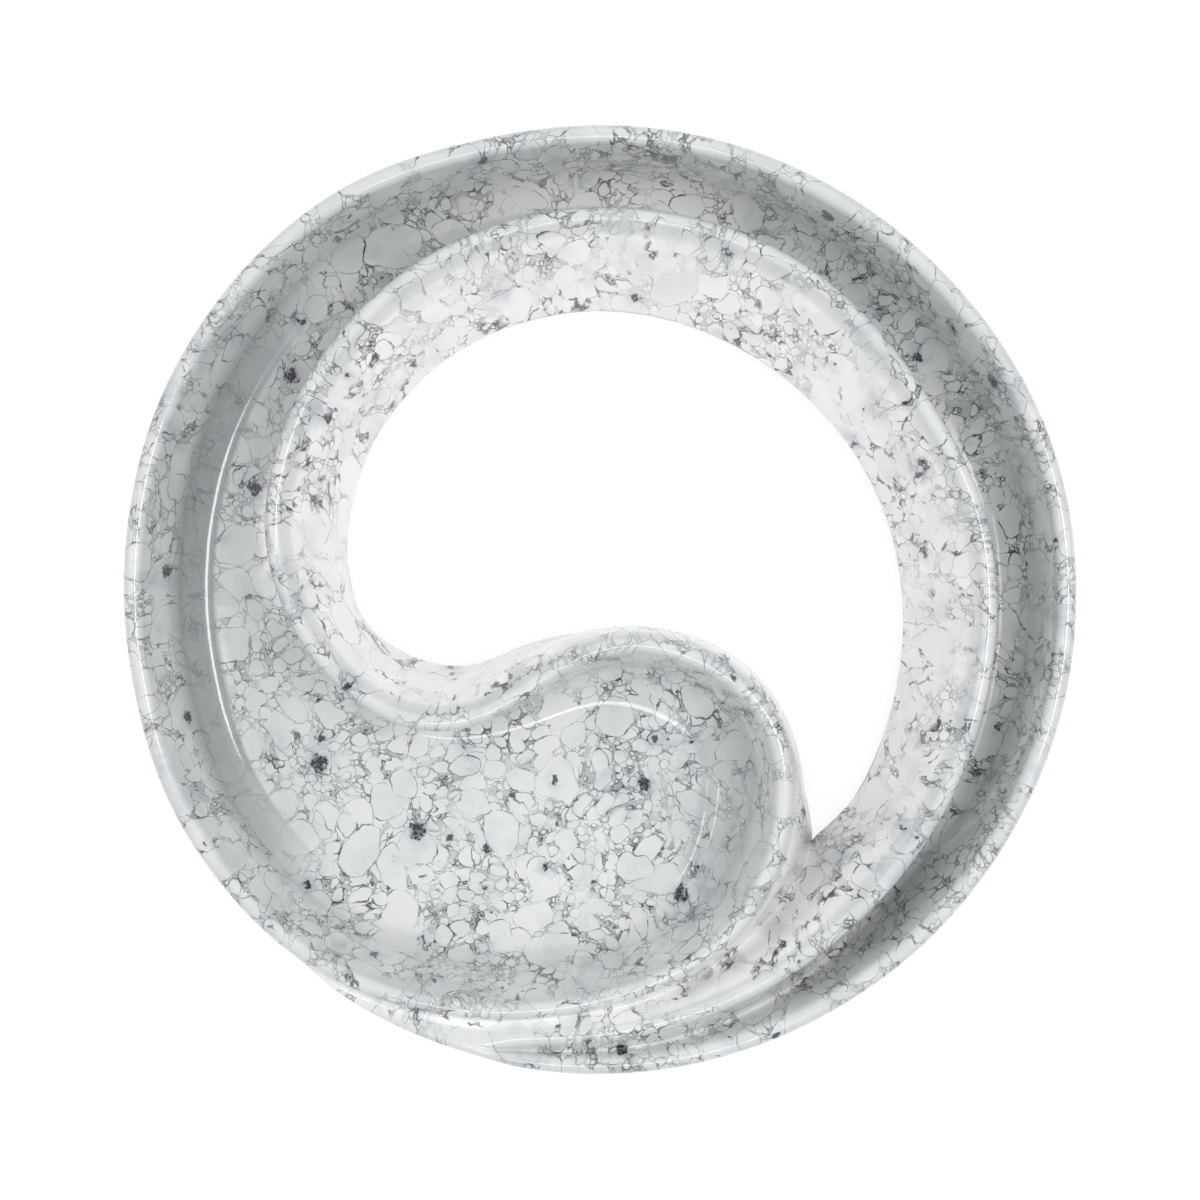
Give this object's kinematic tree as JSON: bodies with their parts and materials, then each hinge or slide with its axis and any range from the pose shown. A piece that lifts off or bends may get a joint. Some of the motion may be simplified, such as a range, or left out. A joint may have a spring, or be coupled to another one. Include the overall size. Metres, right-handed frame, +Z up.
{
  "type": "bowl",
  "caption": "Glazed ceramic decor bowl: a round basin runs into a channel that winds round a large hole and narrows to a tail.",
  "frame": {"origin": "on the table below the middle of the ring, at the bottom centre of the box", "axes": "+Z up from the table, +Y from the basin across the hole to the back of the ring, +X to the right seen from above with the basin at the front"},
  "size_m": [0.4016, 0.4, 0.076],
  "materials": {
    "glaze": "very glossy white glaze with grey-blue bubble outlines and a few near-black blots",
    "bare_clay": "unglazed, matt",
    "felt": "matt felt"
  },
  "bodies": {
    "root": {"floor_slab": "glaze", "outer_wall": "glaze", "basin_wall": "glaze", "inner_wall": "glaze", "hole_skirt": "glaze", "tail_floor": "glaze", "tail_tip": "glaze", "outer_rim": "glaze", "basin_rim": "glaze", "inner_rim": "glaze", "outer_foot": "bare_clay", "hole_foot": "bare_clay", "felt_pad_1": "felt", "felt_pad_2": "felt", "felt_pad_3": "felt", "felt_pad_4": "felt", "felt_pad_5": "felt", "felt_pad_6": "felt"}
  },
  "joints": []
}
